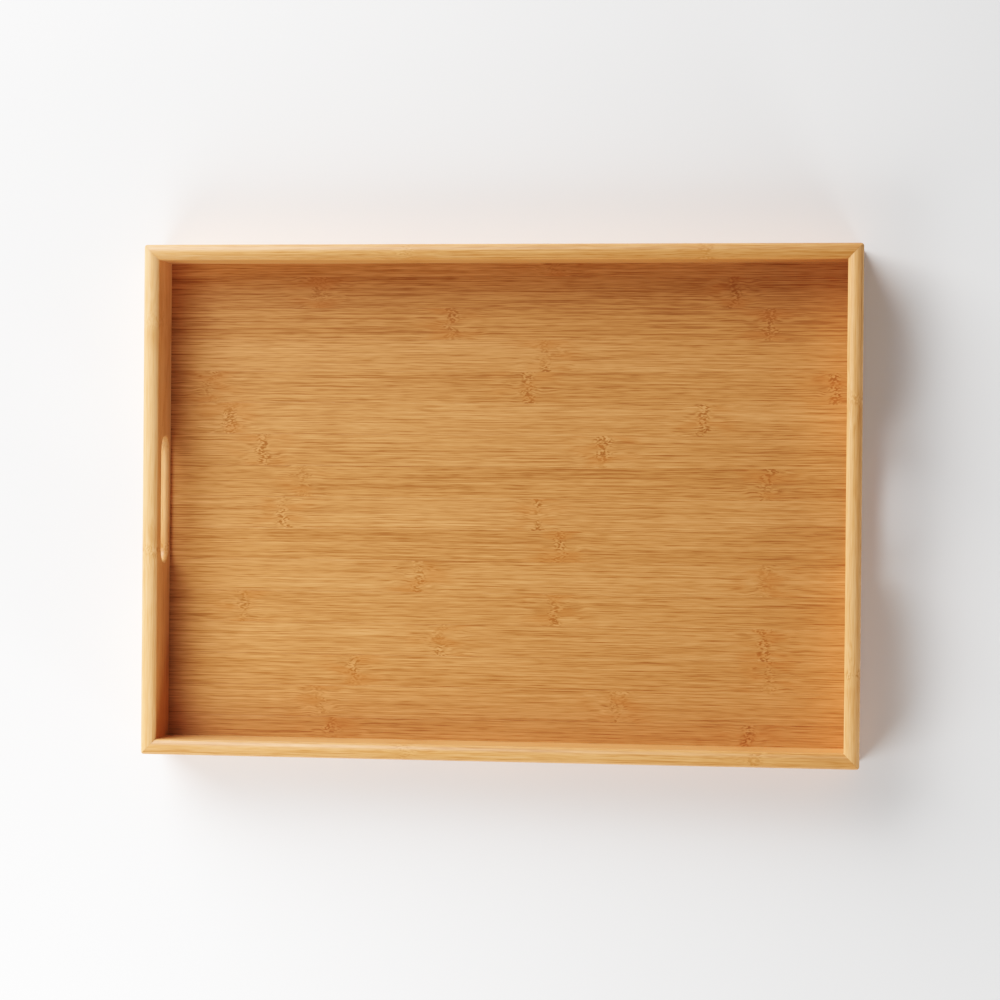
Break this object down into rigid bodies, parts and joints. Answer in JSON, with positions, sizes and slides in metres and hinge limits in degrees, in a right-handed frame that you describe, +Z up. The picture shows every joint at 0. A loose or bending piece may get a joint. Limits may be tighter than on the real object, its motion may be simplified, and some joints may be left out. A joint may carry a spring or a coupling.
{
  "type": "serving tray",
  "caption": "Rectangular bamboo serving tray: mitred rails with a crowned rim, a finger slot in each end rail, and a floor of edge-glued slats held in a groove.",
  "frame": {"origin": "on the surface that the tray stands on, under the middle of the tray", "axes": "+X along the tray towards the right-hand finger slot, +Y across it towards the back rail, +Z up out of the tray"},
  "size_m": [0.42, 0.3, 0.044],
  "materials": {
    "rail_bamboo": "satin lacquer",
    "floor_bamboo": "satin lacquer",
    "spline_bamboo": "bare, glued in"
  },
  "bodies": {
    "root": {"rail_front": "rail_bamboo", "rail_back": "rail_bamboo", "rail_left": "rail_bamboo", "rail_right": "rail_bamboo", "floor_slat_01": "floor_bamboo", "floor_slat_02": "floor_bamboo", "floor_slat_03": "floor_bamboo", "floor_slat_04": "floor_bamboo", "floor_slat_05": "floor_bamboo", "floor_slat_06": "floor_bamboo", "floor_slat_07": "floor_bamboo", "floor_slat_08": "floor_bamboo", "floor_slat_09": "floor_bamboo", "floor_slat_10": "floor_bamboo", "floor_slat_11": "floor_bamboo", "floor_slat_12": "floor_bamboo", "floor_slat_13": "floor_bamboo", "floor_slat_14": "floor_bamboo", "floor_slat_15": "floor_bamboo", "floor_slat_16": "floor_bamboo", "mitre_spline_front_left": "spline_bamboo", "mitre_spline_front_right": "spline_bamboo", "mitre_spline_back_left": "spline_bamboo", "mitre_spline_back_right": "spline_bamboo"}
  },
  "joints": []
}
